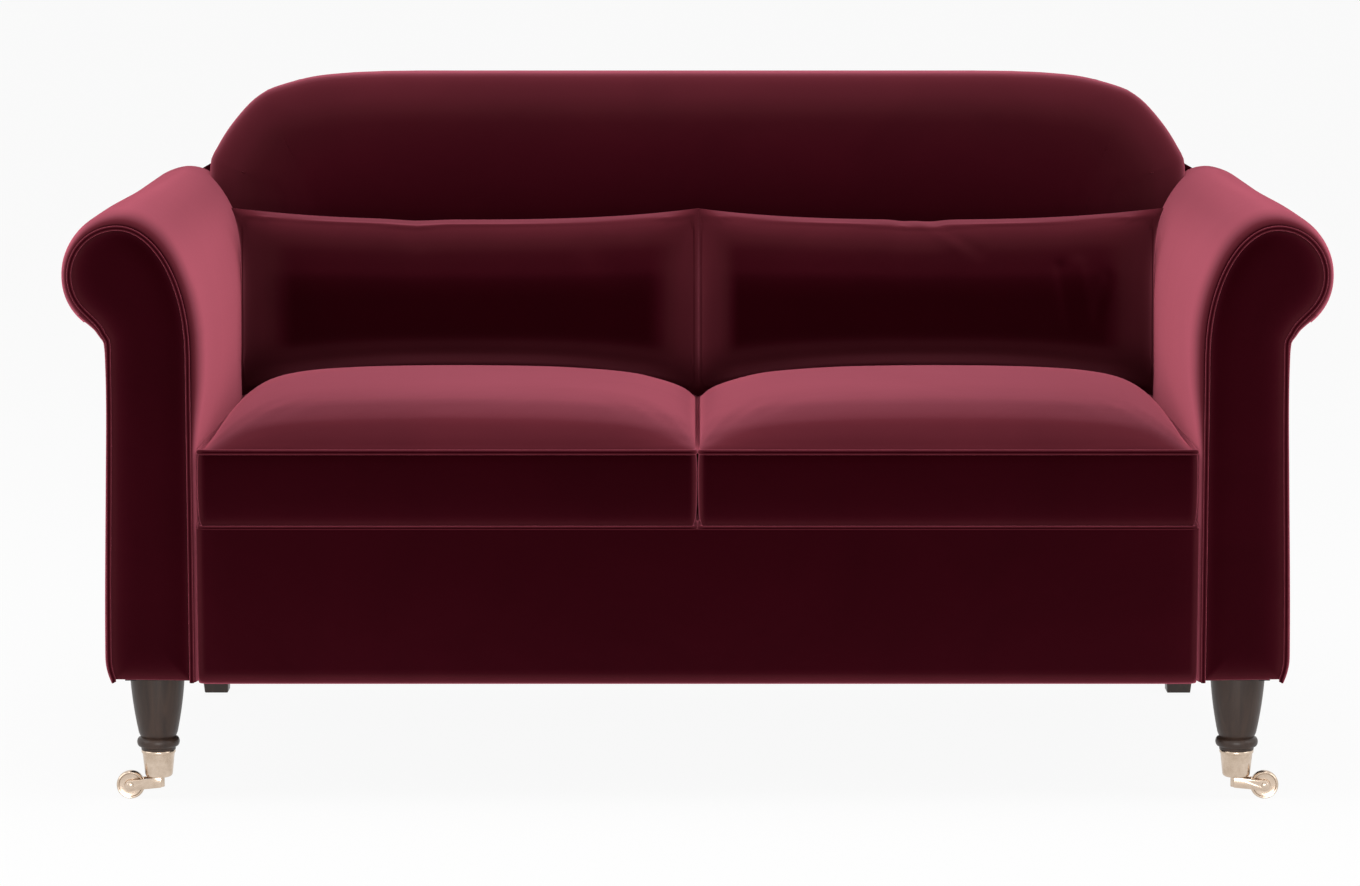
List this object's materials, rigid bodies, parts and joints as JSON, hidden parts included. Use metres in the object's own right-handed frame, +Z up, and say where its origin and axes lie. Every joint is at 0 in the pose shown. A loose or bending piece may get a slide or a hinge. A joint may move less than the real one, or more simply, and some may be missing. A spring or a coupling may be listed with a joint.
{
  "type": "rolled arm loveseat",
  "caption": "Loveseat with scrolled padded arms, boxed seat cushions, loose lumbar cushions, an upholstered leaning back, and turned front legs on brass castors.",
  "frame": {"origin": "on the floor, under the middle of the sofa's bounding box", "axes": "+Z up, the seat faces -Y, +X to the right as seen from the front"},
  "size_m": [1.5404, 0.865, 0.8571],
  "materials": {
    "velvet": "pile",
    "timber": "sawn",
    "dark_wood": "satin varnish",
    "brass": "satin",
    "steel": "plain",
    "webbing": "woven",
    "lining": "woven"
  },
  "bodies": {
    "sofa_frame": {"arm_pad_left": "velvet", "arm_pad_right": "velvet", "outside_arm_left": "velvet", "outside_arm_right": "velvet", "arm_facing_left": "velvet", "arm_facing_right": "velvet", "facing_piping_left": "velvet", "facing_piping_right": "velvet", "back_pad": "velvet", "rear_panel": "velvet", "front_border": "velvet", "arm_front_board_left": "timber", "arm_front_board_right": "timber", "rear_board_left": "timber", "rear_board_right": "timber", "arm_top_rail_left": "timber", "arm_top_rail_right": "timber", "side_rail_left": "timber", "side_rail_right": "timber", "front_leg_block_left": "timber", "front_leg_block_right": "timber", "rear_leg_block_left": "timber", "rear_leg_block_right": "timber", "front_rail": "timber", "back_rail": "timber", "tuck_rail": "timber", "back_top_rail": "timber", "centre_rail": "timber", "back_webbing_1": "webbing", "back_webbing_2": "webbing", "back_webbing_3": "webbing", "seat_deck": "webbing", "seat_spring_1": "steel", "seat_spring_2": "steel", "seat_spring_3": "steel", "seat_spring_4": "steel", "seat_spring_5": "steel", "front_leg_bolt_left": "steel", "front_leg_bolt_right": "steel", "rear_leg_bolt_left": "steel", "rear_leg_bolt_right": "steel", "dust_cover": "lining", "front_leg_left": "dark_wood", "front_leg_right": "dark_wood", "rear_leg_left": "dark_wood", "rear_leg_right": "dark_wood", "castor_cup_left": "brass", "castor_cup_right": "brass"},
    "left_seat_cushion": {"seat_cushion_left": "velvet"},
    "left_lumbar_cushion": {"lumbar_cushion_left": "velvet"},
    "left_castor": {"castor_horn_left": "brass", "castor_axle_left": "steel"},
    "left_castor_wheel": {"castor_wheel_left": "brass"},
    "right_seat_cushion": {"seat_cushion_right": "velvet"},
    "right_lumbar_cushion": {"lumbar_cushion_right": "velvet"},
    "right_castor": {"castor_horn_right": "brass", "castor_axle_right": "steel"},
    "right_castor_wheel": {"castor_wheel_right": "brass"}
  },
  "joints": [
    {"name": "castor_swivel_left", "type": "hinge", "parent": "sofa_frame", "child": "left_castor", "pos_m": [-0.668, -0.37624, 0.02], "axis": [0, 0, 1], "continuous": true},
    {"name": "castor_roll_left", "type": "hinge", "parent": "left_castor", "child": "left_castor_wheel", "pos_m": [-0.703, -0.37624, 0.0175], "axis": [0, 1, 0], "continuous": true},
    {"name": "seat_cushion_lift_out_left", "type": "slide", "parent": "sofa_frame", "child": "left_seat_cushion", "axis": [0, -0.9998, 0.0175], "range_m": [0, 0.65]},
    {"name": "lumbar_cushion_lift_out_left", "type": "slide", "parent": "sofa_frame", "child": "left_lumbar_cushion", "axis": [0, 0.1392, 0.9903], "range_m": [0, 0.35]},
    {"name": "castor_swivel_right", "type": "hinge", "parent": "sofa_frame", "child": "right_castor", "pos_m": [0.668, -0.37624, 0.02], "axis": [0, 0, 1], "continuous": true},
    {"name": "castor_roll_right", "type": "hinge", "parent": "right_castor", "child": "right_castor_wheel", "pos_m": [0.703, -0.37624, 0.0175], "axis": [0, 1, 0], "continuous": true},
    {"name": "seat_cushion_lift_out_right", "type": "slide", "parent": "sofa_frame", "child": "right_seat_cushion", "axis": [0, -0.9998, 0.0175], "range_m": [0, 0.65]},
    {"name": "lumbar_cushion_lift_out_right", "type": "slide", "parent": "sofa_frame", "child": "right_lumbar_cushion", "axis": [0, 0.1392, 0.9903], "range_m": [0, 0.35]}
  ]
}
